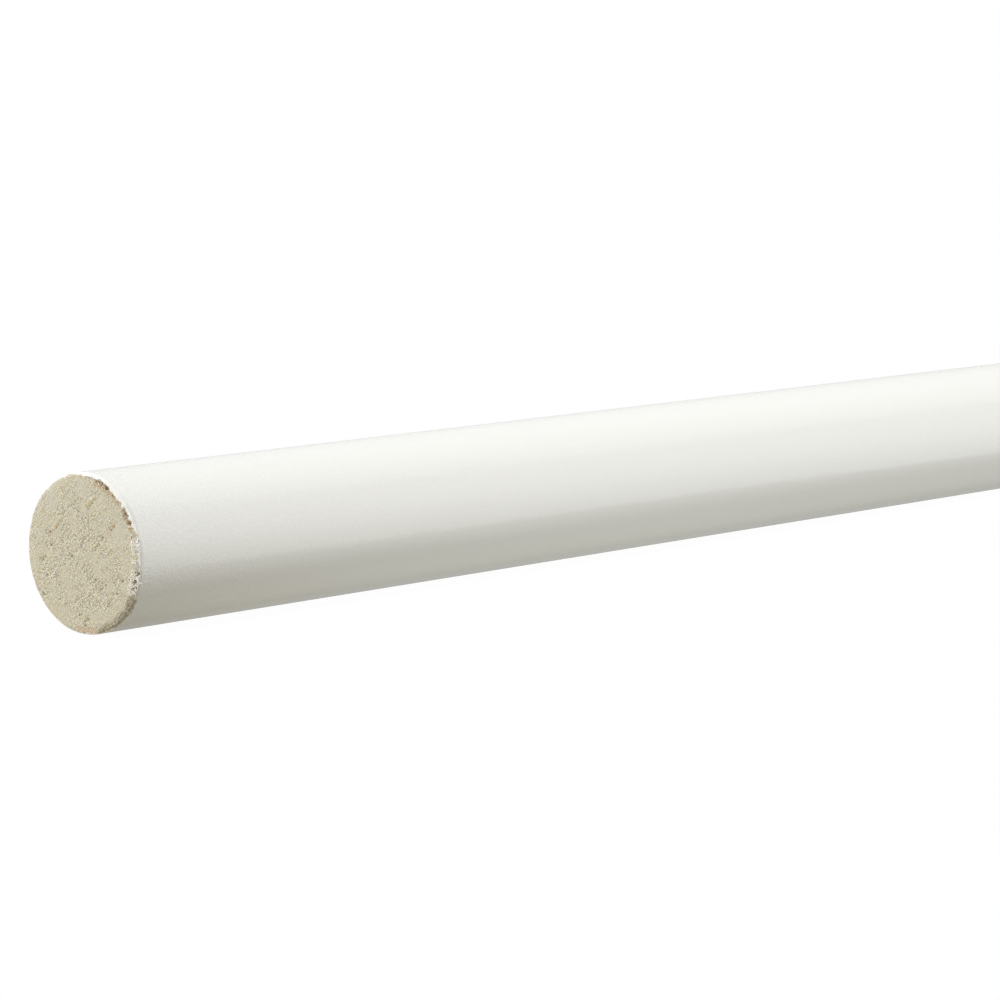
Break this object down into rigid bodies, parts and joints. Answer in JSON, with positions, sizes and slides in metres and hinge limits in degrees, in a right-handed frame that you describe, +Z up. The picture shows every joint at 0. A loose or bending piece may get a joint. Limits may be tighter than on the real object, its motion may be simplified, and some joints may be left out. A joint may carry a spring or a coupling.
{
  "type": "wooden dowel",
  "caption": "Straight full-round wooden dowel with a white painted side and bare sawn ends, used as a pole, rail or turned stock.",
  "frame": {"origin": "on the floor under the middle of the dowel's length", "axes": "+X along the dowel, towards its right end, +Z up; the dowel lies on its round side"},
  "size_m": [0.9144, 0.0318, 0.0317],
  "materials": {
    "painted_wood": "satin white paint on the round side, bare sawn end grain on the two ends"
  },
  "bodies": {
    "root": {"dowel": "painted_wood"}
  },
  "joints": []
}
